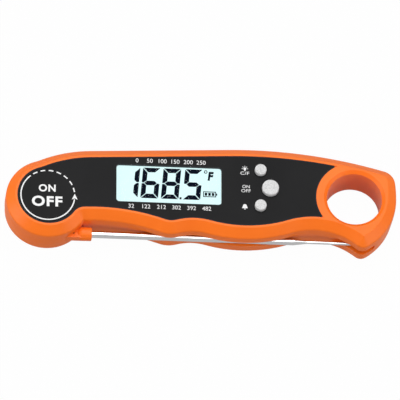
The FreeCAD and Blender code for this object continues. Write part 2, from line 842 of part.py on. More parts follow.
def make_face_overlay():
    """Thin printed label in the front recess, cut out for the window and the keys."""
    body = new_body("face_overlay")
    sheet_outline = Drawing(body, "OverlayOutline", lift=overlay_floor)
    sheet_outline.loop(housing_outline(dim.border_width + dim.fit_gap, right_end="hole",
                                       ring_gap=dim.fit_gap))
    pad(body, sheet_outline, dim.overlay_thickness)
    round_off(body, tip_edges(body), dim.overlay_tip_rounding)
    window = Drawing(body, "OverlayWindow", lift=overlay_top)
    window.rounded_rectangle(window_x, window_y, window_width, dim.window_height,
                             dim.window_corner)
    cut(body, window, dim.overlay_thickness)
    key_holes = Drawing(body, "OverlayKeyHoles", lift=overlay_top)
    for x, y, radius in keys.values():
        key_holes.circle(x, y, radius + dim.key_gap)
    cut(body, key_holes, dim.overlay_thickness)


def make_display():
    """Clear lens, glass, light guide, contact strips and the frame that holds them."""
    lens = new_body("display_window")
    lens_outline = Drawing(lens, "LensOutline", lift=lens_bottom)
    lens_outline.rounded_rectangle(window_x, window_y, window_width - dim.fit_gap * 2,
                                   dim.window_height - dim.fit_gap * 2,
                                   dim.window_corner - dim.fit_gap)
    pad(lens, lens_outline, dim.lens_thickness)

    glass = new_body("lcd_glass")
    glass_outline = Drawing(glass, "GlassOutline", lift=glass_bottom)
    glass_outline.rounded_rectangle(window_x, window_y, glass_width, glass_height,
                                    dim.window_corner - dim.glass_margin)
    pad(glass, glass_outline, dim.glass_thickness)

    under_glass = glass_bottom - dim.board_top_height
    guide = new_body("lcd_backlight")
    guide_outline = Drawing(guide, "GuideOutline", lift=dim.board_top_height)
    guide_outline.rectangle(window_x, window_y, glass_width,
                            glass_height - dim.strip_width * 2 - dim.fit_gap * 4)
    pad(guide, guide_outline, under_glass)

    strips = new_body("contact_strips")
    strip_outlines = Drawing(strips, "StripOutlines", lift=dim.board_top_height)
    for side in (-1, 1):
        strip_y = window_y + (glass_height / 2 - dim.strip_width / 2) * side
        strip_outlines.rectangle(window_x, strip_y, glass_width, dim.strip_width)
    pad(strips, strip_outlines, under_glass)

    frame = new_body("lcd_frame")
    frame_outline = Drawing(frame, "FrameOutline", lift=dim.board_top_height)
    frame_outline.rectangle(window_x, window_y, window_width + dim.frame_wall * 2,
                            dim.window_height + dim.frame_wall * 2)
    frame_outline.rectangle(window_x, window_y, glass_width + dim.fit_gap * 2,
                            glass_height + dim.fit_gap * 2)
    pad(frame, frame_outline, cavity_roof - dim.board_top_height)


def make_keys():
    """Three round keys: domed cap, flange behind the face, stem over its switch."""
    plunger_top = dim.board_top_height + dim.switch_height + dim.plunger_height
    stem_foot = plunger_top + dim.key_travel + dim.key_gap
    flange_face = cavity_roof - dim.key_gap
    flange_foot = flange_face - dim.key_flange_height
    cap_top = overlay_top + dim.key_rise
    for label, (x, y, radius) in keys.items():
        body = new_body(label, x, y)
        profile = Drawing(body, label + "_profile", "XZ_Plane")
        flange_reach = radius + dim.key_flange_width
        profile.polygon([(ZERO, stem_foot), (dim.key_stem_radius, stem_foot),
                         (dim.key_stem_radius, flange_foot), (flange_reach, flange_foot),
                         (flange_reach, flange_face), (radius, flange_face),
                         (radius, cap_top), (ZERO, cap_top)])
        revolve(body, profile, "V_Axis")
        round_off(body, rim_edges(body, cap_top), dim.key_rounding)


# ---------------------------------------------------------------- electronics

def make_board():
    """Circuit board with the chip, switches, sounder and reed switch it carries."""
    board = new_body("circuit_board")
    board_outline = Drawing(board, "BoardOutline", lift=board_bottom)
    board_outline.rectangle((board_left + board_right) / 2, head_y + dim.board_level,
                            board_right - board_left, dim.board_width)
    for x, y in board_screw_places:
        board_outline.circle(x, y, dim.board_screw_radius + dim.fit_gap)
    pad(board, board_outline, dim.board_thickness)

    chip = new_body("controller_chip")
    chip_outline = Drawing(chip, "ChipOutline", lift=board_bottom - dim.chip_height)
    chip_outline.rectangle(window_left + dim.chip_inset, window_y, dim.chip_size,
                           dim.chip_size)
    pad(chip, chip_outline, dim.chip_height)

    switches = new_body("button_switches")
    bases = Drawing(switches, "SwitchBases", lift=dim.board_top_height)
    for x, y, _ in keys.values():
        bases.rectangle(x, y, dim.switch_size, dim.switch_size)
    pad(switches, bases, dim.switch_height)
    plungers = circles(switches, "SwitchPlungers", [(x, y) for x, y, _ in keys.values()],
                       dim.plunger_radius, dim.board_top_height + dim.switch_height)
    pad(switches, plungers, dim.plunger_height)

    buzzer = new_body("buzzer")
    can = circles(buzzer, "BuzzerCan", [(board_right - dim.buzzer_inset, window_y)],
                  dim.buzzer_radius, board_bottom - dim.buzzer_height)
    pad(buzzer, can, dim.buzzer_height)

    reed = new_body("reed_switch", board_left + dim.reed_inset, window_y,
                    board_bottom - dim.reed_radius)
    tube = Drawing(reed, "ReedTube", "XZ_Plane", lift=-(dim.reed_length / 2))
    tube.circle(ZERO, ZERO, dim.reed_radius)
    pad(reed, tube, dim.reed_length)


def make_screws():
    """Four long screws that close the housing and four short ones that hold the board."""
    housing = new_body("housing_screws")
    heads = circles(housing, "ScrewHeads", screw_places, dim.screw_head_radius,
                    dim.screw_recess_depth - dim.screw_head_height)
    pad(housing, heads, dim.screw_head_height)
    shanks = circles(housing, "ScrewShanks", screw_places, dim.screw_radius,
                     dim.screw_recess_depth)
    pad(housing, shanks, dim.screw_length)

    board = new_body("board_screws")
    board_heads = circles(board, "BoardScrewHeads", board_screw_places,
                          dim.board_screw_head_radius,
                          board_bottom - dim.board_screw_head_height)
    pad(board, board_heads, dim.board_screw_head_height)
    board_shanks = circles(board, "BoardScrewShanks", board_screw_places,
                           dim.board_screw_radius, board_bottom)
    pad(board, board_shanks, board_screw_tip - board_bottom)


def make_magnets():
    body = new_body("back_magnets")
    discs = circles(body, "MagnetDiscs", magnet_places, dim.magnet_radius, dim.fit_gap)
    pad(body, discs, dim.magnet_height)


# ---------------------------------------------------------------- battery

def make_battery():
    """Coin cell with its two spring contacts."""
    cell = new_body("battery_cell", battery_x, battery_y)
    can_top = cell_top - dim.cell_shoulder
    cap_radius = dim.cell_radius - dim.cell_shoulder * 2
    profile = Drawing(cell, "CellProfile", "XZ_Plane")
    profile.polygon([(ZERO, cell_bottom), (dim.cell_radius, cell_bottom),
                     (dim.cell_radius, can_top), (cap_radius, can_top),
                     (cap_radius, cell_top), (ZERO, cell_top)])
    revolve(cell, profile, "V_Axis")
    round_off(cell, rim_edges(cell, cell_bottom), dim.cell_shoulder)

    sheet_thickness = dim.contact_thickness
    minus = new_body("battery_contact_minus")
    leaf = Drawing(minus, "MinusLeaf", "XZ_Plane", lift=-(battery_y + dim.contact_width / 2))
    tip_foot = cell_top + dim.fit_gap / 2
    tip_face = tip_foot + sheet_thickness
    foot_outer = battery_x + dim.cell_radius + dim.cell_side_gap
    foot_inner = foot_outer - dim.contact_width
    bend = battery_x + dim.contact_foot
    leaf.polygon([(foot_outer, board_bottom - sheet_thickness), (foot_outer, board_bottom),
                  (foot_inner - sheet_thickness, board_bottom),
                  (bend - sheet_thickness, tip_face),
                  (battery_x - dim.contact_width / 2, tip_face),
                  (battery_x - dim.contact_width / 2, tip_foot), (bend, tip_foot),
                  (foot_inner, board_bottom - sheet_thickness)])
    pad(minus, leaf, dim.contact_width)

    plus = new_body("battery_contact_plus")
    strip = Drawing(plus, "PlusStrip", "YZ_Plane", lift=battery_x - dim.contact_width / 2)
    inner_face = battery_y + dim.cell_radius + dim.fit_gap / 2
    outer_face = inner_face + sheet_thickness
    foot_edge = inner_face + dim.contact_foot
    low = cell_bottom + dim.cell_shoulder
    strip.polygon([(inner_face, low), (outer_face, low),
                   (outer_face, board_bottom - sheet_thickness),
                   (foot_edge, board_bottom - sheet_thickness), (foot_edge, board_bottom),
                   (inner_face, board_bottom)])
    pad(plus, strip, dim.contact_width)


def make_battery_door():
    """Round door with a coin slot and two bayonet lugs, and the seal round its neck."""
    door = new_body("battery_door")
    centre = [(battery_x, battery_y)]
    pad(door, circles(door, "DoorFlange", centre, flange_radius, dim.door_recess),
        dim.door_flange_height)
    pad(door, circles(door, "DoorNeck", centre, dim.door_neck_radius, flange_top),
        lug_top - flange_top)
    lugs = Drawing(door, "DoorLugs", lift=lug_bottom)
    draw_lugs(lugs, ZERO, ZERO)
    pad(door, lugs, dim.door_lug_height)
    slot = Drawing(door, "CoinSlot", lift=dim.door_recess)
    slot.rounded_rectangle(battery_x, battery_y, dim.door_slot_length, dim.door_slot_width,
                           dim.door_slot_width / 2 - dim.bond_gap)
    cut_up(door, slot, dim.door_slot_depth)

    seal = new_body("battery_door_seal", battery_x, battery_y)
    section = Drawing(seal, "SealSection", "XZ_Plane")
    section.circle(dim.door_neck_radius + dim.door_seal_radius + dim.bond_gap,
                   flange_top + dim.door_seal_radius + dim.fit_gap / 2,
                   dim.door_seal_radius)
    revolve(seal, section, "V_Axis")


# ---------------------------------------------------------------- probe arm

def end_rim(body, pick):
    """Name of the round edge that lies furthest along X (max) or least far (min)."""
    doc.recompute()
    rims = {edge.CenterOfMass.x: f"Edge{place}"
            for place, edge in enumerate(body.Shape.Edges, start=1)
            if hasattr(edge.Curve, "Radius")}
    return rims[pick(rims)]


def make_probe_hub():
    """Turning hub: disc flush with the head, two hollow journals, web and probe collar."""
    body = new_body("probe_hub", head_x, head_y)
    collar_start = collar_end - dim.collar_length
    collar_back = collar_start - dim.collar_radius
    collar = Drawing(body, "Collar", "YZ_Plane", lift=collar_back)
    collar.circle(-probe_offset, probe_height, dim.collar_radius)
    pad(body, collar, collar_end - collar_back)
    round_off(body, [end_rim(body, min)], dim.collar_radius - dim.fit_gap)
    round_off(body, [end_rim(body, max)], dim.collar_rounding)

    centre = [(ZERO, ZERO)]
    disc_height = disc_top - disc_bottom
    pad(body, circles(body, "Disc", centre, dim.head_radius, disc_bottom), disc_height)
    web = Drawing(body, "Web", lift=disc_bottom)
    web_outer_x = collar_start + dim.web_into_collar
    web_low, web_high = -probe_offset - dim.web_outward, -probe_offset + dim.web_inward
    web.polygon([(dim.web_start, web_low), (web_outer_x, web_low),
                 (web_outer_x, web_high), (dim.web_start, web_high)])
    pad(body, web, disc_height)
    journal_top = dim.parting_height + dim.trunnion_rise
    pad(body, circles(body, "UpperJournal", centre, dim.trunnion_radius, disc_top),
        journal_top - disc_top)
    pad(body, circles(body, "LowerJournal", centre, dim.trunnion_radius, trunnion_bottom),
        disc_bottom - trunnion_bottom)

    cut(body, circles(body, "LeadHole", centre, dim.lead_hole_radius, journal_top),
        journal_top - disc_bottom)
    socket = Drawing(body, "TubeSocket", "YZ_Plane", lift=collar_end)
    socket.circle(-probe_offset, probe_height, dim.tube_radius + dim.bond_gap)
    cut(body, socket, collar_end - tube_root)
    groove = Drawing(body, "LeadGroove", lift=disc_top)
    draw_lead_path(groove, dim.lead_gap)
    cut(body, groove, disc_top - probe_height + dim.tube_radius / 2)
    magnet_seat = circles(body, "HubMagnetSeat", [(dim.hub_magnet_x, dim.hub_magnet_y)],
                          dim.hub_magnet_radius + dim.fit_gap, disc_top)
    cut(body, magnet_seat, dim.hub_magnet_height + dim.fit_gap)


def draw_lead_path(drawing, gap):
    """L-shaped run from the tube's root to the hub's centre, wider by gap all round."""
    far = tube_root
    near = far - dim.lead_width - gap
    half = dim.lead_width / 2 + gap
    foot = -(probe_offset + half)
    drawing.polygon([(near - gap, foot), (far, foot), (far, half), (ZERO, half),
                     (ZERO, -half), (near - gap, -half)])


def make_probe():
    """Hollow steel tube with a thin tip, the sensor in the tip, its leads and the magnet."""
    axis_y = head_y - probe_offset
    tube = new_body("probe_tube", head_x, axis_y, probe_height)
    tip = channel_end - dim.tip_clearance - head_x
    point_start = tip - dim.needle_point_length
    bore_end = point_start - dim.needle_wall
    taper_end = tip - dim.needle_length
    taper_start = taper_end - dim.taper_length
    profile = Drawing(tube, "TubeProfile", "XZ_Plane")
    profile.polygon([(tube_root, dim.tube_bore_radius),
                     (taper_start, dim.tube_bore_radius),
                     (taper_end, dim.needle_bore_radius),
                     (bore_end, dim.needle_bore_radius), (bore_end, ZERO),
                     (tip, ZERO), (tip, dim.point_radius),
                     (point_start, dim.needle_radius), (taper_end, dim.needle_radius),
                     (taper_start, dim.tube_radius), (tube_root, dim.tube_radius)])
    revolve(tube, profile)

    sensor = new_body("probe_sensor", head_x, axis_y, probe_height)
    bead = Drawing(sensor, "SensorBead", "YZ_Plane",
                   lift=bore_end - dim.bond_gap - dim.sensor_length)
    bead.circle(ZERO, ZERO, dim.sensor_radius)
    pad(sensor, bead, dim.sensor_length)

    leads = new_body("sensor_leads", head_x, head_y)
    path = Drawing(leads, "LeadPath", lift=probe_height - dim.lead_width / 2)
    draw_lead_path(path, ZERO)
    pad(leads, path, dim.lead_width)

    magnet = new_body("hub_magnet", head_x + dim.hub_magnet_x, head_y + dim.hub_magnet_y)
    magnet_disc = circles(magnet, "HubMagnetDisc", [(ZERO, ZERO)], dim.hub_magnet_radius,
                          disc_top - dim.hub_magnet_height - dim.fit_gap)
    pad(magnet, magnet_disc, dim.hub_magnet_height)


def make_hub_washer():
    """Spring washer under the lower journal; its grip holds the probe at any angle."""
    body = new_body("hub_washer", head_x, head_y)
    ring = Drawing(body, "WasherRing", lift=slot_floor - back_bearing_depth)
    ring.circle(ZERO, ZERO, dim.trunnion_radius - dim.fit_gap)
    ring.circle(ZERO, ZERO, dim.washer_inner_radius)
    pad(body, ring, dim.washer_thickness)


make_front_shell()
make_back_shell()
make_face_overlay()
make_display()
make_keys()
make_board()
make_screws()
make_magnets()
make_battery()
make_battery_door()
make_probe_hub()
make_probe()
make_hub_washer()
doc.recompute()

for item in doc.Objects:
    if "Invalid" in item.State or "Error" in item.State:
        raise RuntimeError(f"{item.Label} did not build")
for piece in pieces:
    if piece.Shape.isNull() or not piece.Shape.isValid():
        raise RuntimeError(f"{piece.Label} has no valid shape")
for piece in pieces:
    piece.Shape.exportStep(f"parts/{piece.Label}.step")
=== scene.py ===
"""Folding meat thermometer: finishes, printed graphics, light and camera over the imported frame.

Metres throughout. MM turns the millimetres in which the thermometer is thought out into
metres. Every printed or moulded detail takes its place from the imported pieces.
"""

import json
import math

import bmesh
import bpy
import numpy as np
from mathutils import Matrix, Vector

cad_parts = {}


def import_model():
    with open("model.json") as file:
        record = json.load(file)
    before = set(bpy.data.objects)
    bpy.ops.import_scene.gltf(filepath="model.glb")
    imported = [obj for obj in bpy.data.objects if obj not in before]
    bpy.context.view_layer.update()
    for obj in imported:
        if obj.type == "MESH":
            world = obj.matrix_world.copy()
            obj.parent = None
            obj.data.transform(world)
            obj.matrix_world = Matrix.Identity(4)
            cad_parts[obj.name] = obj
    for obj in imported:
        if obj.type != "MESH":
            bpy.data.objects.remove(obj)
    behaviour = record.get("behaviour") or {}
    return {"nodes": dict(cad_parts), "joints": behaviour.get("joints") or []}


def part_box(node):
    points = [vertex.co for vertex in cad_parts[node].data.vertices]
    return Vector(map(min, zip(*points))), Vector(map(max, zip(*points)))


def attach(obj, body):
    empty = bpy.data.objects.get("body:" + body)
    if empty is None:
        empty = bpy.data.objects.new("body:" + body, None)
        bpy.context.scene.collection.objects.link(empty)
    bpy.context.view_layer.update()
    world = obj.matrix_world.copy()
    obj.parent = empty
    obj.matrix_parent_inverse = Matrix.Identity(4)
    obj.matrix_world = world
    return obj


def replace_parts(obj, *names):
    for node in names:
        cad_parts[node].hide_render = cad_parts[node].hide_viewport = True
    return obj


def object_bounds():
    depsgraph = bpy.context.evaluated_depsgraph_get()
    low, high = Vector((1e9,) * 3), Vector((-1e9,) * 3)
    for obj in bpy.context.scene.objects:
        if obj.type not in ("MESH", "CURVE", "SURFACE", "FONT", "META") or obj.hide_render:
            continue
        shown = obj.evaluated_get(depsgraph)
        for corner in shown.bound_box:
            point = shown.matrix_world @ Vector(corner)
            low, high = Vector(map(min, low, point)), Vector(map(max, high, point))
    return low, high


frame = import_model()
cad_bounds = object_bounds()
nodes = frame["nodes"]
joints = {joint["name"]: joint for joint in frame["joints"]}
MM = 0.001


# ---------------------------------------------------------------- shader arithmetic

class Wire:
    """One output of a node; arithmetic on it adds Math nodes."""

    def __init__(self, graph, socket):
        self.graph = graph
        self.socket = socket

    def math(self, operation, *terms):
        return self.graph.node("ShaderNodeMath", {"operation": operation},
                               dict(enumerate(terms)))

    def greater(self, other):
        return self.math("MAXIMUM", self, other)

    def __add__(self, other):
        return self.math("ADD", self, other)

    __radd__ = __add__

    def __sub__(self, other):
        return self.math("SUBTRACT", self, other)

    def __rsub__(self, other):
        return self.math("SUBTRACT", other, self)

    def __mul__(self, other):
        return self.math("MULTIPLY", self, other)

    __rmul__ = __mul__

    def __truediv__(self, other):
        return self.math("DIVIDE", self, other)

    def __rtruediv__(self, other):
        return self.math("DIVIDE", other, self)

    def __pow__(self, other):
        return self.math("POWER", self, other)

    def __rpow__(self, other):
        return self.math("POWER", other, self)

    def __abs__(self):
        return self.math("ABSOLUTE", self)

    def sine(self):
        return self.math("SINE", self)

    def above(self, edge, softness):
        """0 below the edge and 1 above it, with a soft step between."""
        settings = {"interpolation_type": "SMOOTHSTEP"}
        return self.graph.node("ShaderNodeMapRange", settings,
                               {"Value": self, "From Min": edge - softness,
                                "From Max": edge + softness})


class Graph:
    """The node tree of a material or a world, emptied and then filled node by node."""

    def __init__(self, owner, output_kind):
        owner.use_nodes = True
        self.tree = owner.node_tree
        self.tree.nodes.clear()
        self.output = self.tree.nodes.new(output_kind)

    def node(self, kind, settings, inputs, output=0):
        """Adds any node: its settings first, then each socket's value or link."""
        node = self.tree.nodes.new(kind)
        for name, value in settings.items():
            setattr(node, name, value)
        for socket, value in inputs.items():
            if isinstance(value, Wire):
                self.tree.links.new(value.socket, node.inputs[socket])
            else:
                node.inputs[socket].default_value = value
        return Wire(self, node.outputs[output])

    def ray(self, kind):
        """1 for rays of one kind, and 0 for all others."""
        return self.node("ShaderNodeLightPath", {}, {}, f"Is {kind} Ray")

    def end(self, shader):
        """Ends the graph in a shader."""
        self.tree.links.new(shader.socket, self.output.inputs["Surface"])


class Finish(Graph):
    """A procedural material over the object's own coordinates."""

    def __init__(self, name):
        self.material = bpy.data.materials.new(name)
        super().__init__(self.material, "ShaderNodeOutputMaterial")
        self.place = self.node("ShaderNodeTexCoord", {}, {}, "Object")

    def noise(self, scale, detail, roughness, place=None):
        return self.node("ShaderNodeTexNoise", {}, {
            "Vector": place or self.place, "Scale": scale, "Detail": detail,
            "Roughness": roughness})

    def stretched(self, stretch):
        """The object's coordinates scaled by a different amount along each axis."""
        return self.node("ShaderNodeMapping", {}, {"Vector": self.place, "Scale": stretch})

    def along(self, axis):
        """One of the object's coordinates, in metres."""
        return self.node("ShaderNodeSeparateXYZ", {}, {0: self.place}, axis)

    def mix(self, factor, first, second):
        """Blend of two colours."""
        return self.node("ShaderNodeMix", {"data_type": "RGBA"},
                         {0: factor, 6: first, 7: second}, 2)

    def bump(self, height, distance):
        return self.node("ShaderNodeBump", {}, {
            "Height": height, "Distance": distance, "Strength": 1.0})

    def shade(self, **sockets):
        """Ends the graph in a Principled shader; underscores stand for spaces."""
        inputs = {name.replace("_", " "): value for name, value in sockets.items()}
        self.end(self.node("ShaderNodeBsdfPrincipled", {}, inputs))
        return self.material


def colour(red, green, blue):
    """Linear colour from the three parts of a screen colour, 0 to 255."""
    parts = np.array([red, green, blue]) / 255
    linear = np.where(parts <= 0.04045, parts / 12.92, ((parts + 0.055) / 1.055) ** 2.4)
    return (*linear.tolist(), 1.0)


# ---------------------------------------------------------------- finishes

def moulded(name, base, deep, grain=0.02, roughness=0.42, sheen=0.35):
    """Moulded plastic: soft flow marks in the colour and a fine spark-eroded grain."""
    finish = Finish(name)
    marks = finish.noise(60.0, 4.0, 0.6)
    speck = finish.noise(5200.0, 3.0, 0.6)
    tone = finish.mix(marks.above(0.5, 0.28), deep, base)
    gloss = (speck - 0.5) * 0.16 + (marks - 0.5) * 0.1 + roughness
    return finish.shade(Base_Color=tone, Roughness=gloss, Specular_IOR_Level=sheen,
                        Normal=finish.bump(speck, grain * MM))


def speckled_key():
    """Light grey key plastic with fine dark and pale specks and a matte skin."""
    finish = Finish("key_plastic")
    fine = finish.noise(3400.0, 2.0, 0.7)
    broad = finish.noise(1200.0, 3.0, 0.6)
    body = finish.mix(fine.above(0.5, 0.2), colour(194, 194, 194), colour(226, 226, 226))
    tone = finish.mix(broad.above(0.6, 0.06) * 0.35, body, colour(150, 151, 152))
    return finish.shade(Base_Color=tone, Roughness=(fine - 0.5) * 0.2 + 0.6,
                        Specular_IOR_Level=0.2, Normal=finish.bump(fine, 0.03 * MM))


def label_film():
    """Dark printed film: even charcoal with a faint satin pebble."""
    finish = Finish("label_film")
    pebble = finish.noise(2600.0, 2.0, 0.5)
    cloud = finish.noise(45.0, 3.0, 0.5)
    tone = finish.mix(cloud.above(0.5, 0.3), colour(23, 23, 24), colour(28, 28, 29))
    return finish.shade(Base_Color=tone, Roughness=(pebble - 0.5) * 0.1 + 0.5,
                        Specular_IOR_Level=0.08, Normal=finish.bump(pebble, 0.006 * MM))


def probe_steel():
    """Tube steel polished along its length: fine lines stretched along the X axis."""
    finish = Finish("probe_steel")
    lines = finish.noise(1.0, 3.0, 0.65, finish.stretched((40.0, 9000.0, 9000.0)))
    smear = finish.noise(90.0, 2.0, 0.5)
    tone = finish.mix(lines.above(0.5, 0.3), colour(192, 193, 194), colour(224, 224, 224))
    gloss = (lines - 0.5) * 0.12 + (smear - 0.5) * 0.1 + 0.16
    return finish.shade(Base_Color=tone, Metallic=1.0, Roughness=gloss,
                        Normal=finish.bump(lines, 0.004 * MM))


def print_ink(name, tint, sheen=0.2):
    """Screen-printed ink with slightly uneven cover; the same finish also gives the dark painted
    shade at the label's edge and in the window's gap.
    """
    finish = Finish(name)
    cover = finish.noise(2400.0, 3.0, 0.6)
    tone = finish.mix(cover.above(0.36, 0.2), [part * 0.86 for part in tint[:3]] + [1.0], tint)
    return finish.shade(Base_Color=tone, Roughness=(cover - 0.5) * 0.14 + 0.5,
                        Specular_IOR_Level=sheen, Normal=finish.bump(cover, 0.004 * MM))


def lit_display():
    """Display layer lit from behind: pale cyan, with painted shade making it a little darker
    towards its ends.
    """
    finish = Finish("lit_display")
    low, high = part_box("lcd_glass")
    middle = (low.x + high.x) / 2
    half = (high.x - low.x) / 2
    offset = abs(finish.along("X") - middle) / half
    grain = finish.noise(1500.0, 2.0, 0.5)
    # Painted shade: the glow and the layer grow darker towards the display's ends, with a faint
    # random mottle from the grain.
    end_shade_and_mottle = offset ** 4 * 0.05 + (grain - 0.5) * 0.02
    glow = finish.mix(end_shade_and_mottle, colour(222, 253, 255), colour(150, 190, 205))
    body = finish.mix(end_shade_and_mottle, colour(96, 112, 112), colour(70, 86, 90))
    return finish.shade(Base_Color=body, Emission_Color=glow, Emission_Strength=0.93,
                        Roughness=end_shade_and_mottle * 0.2 + 0.5, Specular_IOR_Level=0.1)


def clear_lens():
    """Hard-coated clear window."""
    finish = Finish("clear_lens")
    haze = finish.noise(300.0, 3.0, 0.6)
    tint = finish.mix(haze, colour(20, 34, 40), colour(30, 46, 52))
    return finish.shade(Base_Color=tint, Roughness=haze * 0.04 + 0.03,
                        Alpha=haze * 0.02 + 0.012)


def laminate():
    """Circuit board: green solder mask over a glass weave and a faint grid of cells."""
    finish = Finish("board_laminate")
    pitch = 9000.0
    weave = (finish.along("X") * pitch).sine() * (finish.along("Y") * pitch).sine()
    cells = finish.node("ShaderNodeTexBrick", {}, {
        "Vector": finish.place, "Scale": 420.0, "Mortar Size": 0.05}, "Fac")
    tone = finish.mix(cells * 0.5 + weave * 0.06, colour(18, 92, 46), colour(52, 128, 70))
    return finish.shade(Base_Color=tone, Roughness=0.3,
                        Normal=finish.bump(weave, 0.01 * MM))


def rubber():
    """Soft black rubber with a dry bloom."""
    finish = Finish("soft_rubber")
    bloom = finish.noise(700.0, 4.0, 0.6)
    tone = finish.mix(bloom.above(0.5, 0.3), colour(26, 26, 27), colour(48, 48, 50))
    return finish.shade(Base_Color=tone, Roughness=(bloom - 0.5) * 0.2 + 0.75,
                        Normal=finish.bump(bloom, 0.02 * MM))


def machined(name, tint, roughness=0.3, fineness=4200.0):
    """Turned or drawn metal: a fine grain, drawn out along the upright axis."""
    finish = Finish(name)
    grain = finish.noise(fineness, 3.0, 0.7, finish.stretched((1.0, 1.0, 0.15)))
    dark = [part * 0.7 for part in tint[:3]] + [1.0]
    tone = finish.mix(grain.above(0.5, 0.3), dark, tint)
    return finish.shade(Base_Color=tone, Metallic=1.0,
                        Roughness=(grain - 0.5) * 0.2 + roughness,
                        Normal=finish.bump(grain, 0.004 * MM))


ORANGE = colour(251, 119, 27)
ORANGE_DEEP = colour(248, 113, 23)

orange_plastic = moulded("orange_plastic", ORANGE, ORANGE_DEEP, sheen=0.26)
dark_plastic = moulded("dark_plastic", colour(48, 48, 50), colour(36, 36, 38))
white_plastic = moulded("white_plastic", colour(226, 226, 220), colour(208, 208, 202))
black_moulding = moulded("black_moulding", colour(34, 34, 36), colour(22, 22, 24), 0.01, 0.5)
guide_plastic = moulded("guide_plastic", colour(236, 244, 246), colour(216, 228, 232),
                        0.004, 0.3)
ceramic_bead = moulded("ceramic_bead", colour(214, 204, 184), colour(186, 176, 158),
                       0.01, 0.35)
lead_cover = moulded("lead_cover", colour(176, 40, 32), colour(150, 30, 26), 0.004, 0.4)
reed_glass = moulded("reed_glass", colour(150, 186, 172), colour(122, 160, 146),
                     0.002, 0.12)
screw_steel = machined("screw_steel", colour(176, 176, 178))
spring_steel = machined("spring_steel", colour(196, 190, 176), 0.25)
cell_steel = machined("cell_steel", colour(204, 204, 202), 0.22)
plated_magnet = machined("plated_magnet", colour(190, 190, 192), 0.12, 900.0)
soft_rubber = rubber()
key_plastic = speckled_key()

node_finish = {
    "front_shell": orange_plastic, "back_shell": orange_plastic, "probe_hub": orange_plastic,
    "face_overlay": label_film(), "display_window": clear_lens(), "lcd_glass": lit_display(),
    "lcd_backlight": guide_plastic, "lcd_frame": white_plastic, "contact_strips": soft_rubber,
    "circuit_board": laminate(), "controller_chip": black_moulding,
    "button_switches": screw_steel, "buzzer": black_moulding, "reed_switch": reed_glass,
    "battery_cell": cell_steel, "battery_contact_minus": spring_steel,
    "battery_contact_plus": spring_steel, "back_magnets": plated_magnet,
    "housing_screws": screw_steel, "board_screws": screw_steel, "hub_washer": spring_steel,
    "probe_tube": probe_steel(),
    "probe_sensor": ceramic_bead, "sensor_leads": lead_cover, "hub_magnet": plated_magnet,
    "battery_door": dark_plastic, "battery_door_seal": soft_rubber,
    "button_light": key_plastic, "button_hold": key_plastic, "button_alarm": key_plastic,
}
NODE_CREASE = math.radians(28)
PIECE_CREASE = math.radians(40)


def dress(node, material):
    """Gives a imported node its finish, with its loose facets shaded as one smooth skin."""
    mesh = node.data
    mesh.materials.clear()
    mesh.materials.append(material)
    if "custom_normal" in mesh.attributes:
        mesh.attributes.remove(mesh.attributes["custom_normal"])
    mesh.polygons.foreach_set("use_smooth", np.ones(len(mesh.polygons), bool))
    weld = node.modifiers.new("Weld", "WELD")
    weld.merge_threshold = 0.001 * MM
    split = node.modifiers.new("Creases", "EDGE_SPLIT")
    split.split_angle = NODE_CREASE
    weighted = node.modifiers.new("Weighted", "WEIGHTED_NORMAL")
    weighted.weight = 100


for name, node in nodes.items():
    dress(node, node_finish[name])


# ---------------------------------------------------------------- flat printed shapes, and painted shade at the label's and window's edges

def prism(corners, low, high):
    """Upright prism over a convex outline: the outline twice, at two heights."""
    corners = np.asarray(corners, float)
    count = len(corners)
    floor = np.column_stack([corners, np.full(count, low)])
    roof = np.column_stack([corners, np.full(count, high)])
    ring = np.arange(count)
    after = np.roll(ring, -1)
    sides = np.column_stack([ring, after, after + count, ring + count]).tolist()
    return np.vstack([floor, roof]), sides + [ring[::-1].tolist(), (ring + count).tolist()]


def band(centre, radius, width, start, end, low, high, steps):
    """Flat arc: points at radius plus or minus half the width, for angles in degrees."""
    angles = np.radians(np.linspace(start, end, steps))
    ahead = np.column_stack([np.cos(angles), np.sin(angles)])
    section = np.array([[-0.5, low], [0.5, low], [0.5, high], [-0.5, high]])
    reach = radius + section[:, 0] * width
    plan = np.asarray(centre) + ahead[:, None, :] * reach[None, :, None]
    height = np.broadcast_to(section[:, 1], (steps, 4))
    points = np.concatenate([plan, height[:, :, None]], axis=2).reshape(-1, 3)
    ring = np.arange(4)
    first = (np.arange(steps - 1) * 4)[:, None]
    quads = np.stack([first + ring, first + 4 + ring, first + 4 + np.roll(ring, -1),
                      first + np.roll(ring, -1)], axis=2).reshape(-1, 4).tolist()
    last = (steps - 1) * 4
    return points, quads + [[0, 1, 2, 3], [last + 3, last + 2, last + 1, last]]


def letters(text, centre, height, low, high, bold, width, lean=0.0):
    """Type as a thin plate, scaled to a height (and width) and centred on a place."""
    curve = bpy.data.curves.new("type", "FONT")
    curve.body = text
    curve.offset = bold
    curve.space_character = 1.0 + bold * 4
    curve.shear = lean
    curve.extrude = 0.5
    curve.resolution_u = 6
    carrier = bpy.data.objects.new("type", curve)
    mesh = bpy.data.meshes.new_from_object(carrier)
    points = np.empty(len(mesh.vertices) * 3)
    mesh.vertices.foreach_get("co", points)
    points = points.reshape(-1, 3)
    corners = np.empty(len(mesh.loops), int)
    mesh.loops.foreach_get("vertex_index", corners)
    starts = np.empty(len(mesh.polygons), int)
    mesh.polygons.foreach_get("loop_start", starts)
    faces = [part.tolist() for part in np.split(corners, starts[1:])]
    bpy.data.objects.remove(carrier)
    bpy.data.curves.remove(curve)
    bpy.data.meshes.remove(mesh)
    least, most = points.min(0), points.max(0)
    scale = np.full(3, height / (most[1] - least[1]))
    if width:
        scale[0] = width / (most[0] - least[0])
    points = (points - (least + most) / 2) * scale
    points[:, :2] += centre
    points[:, 2] = np.where(points[:, 2] > 0, high, low)
    return points, faces


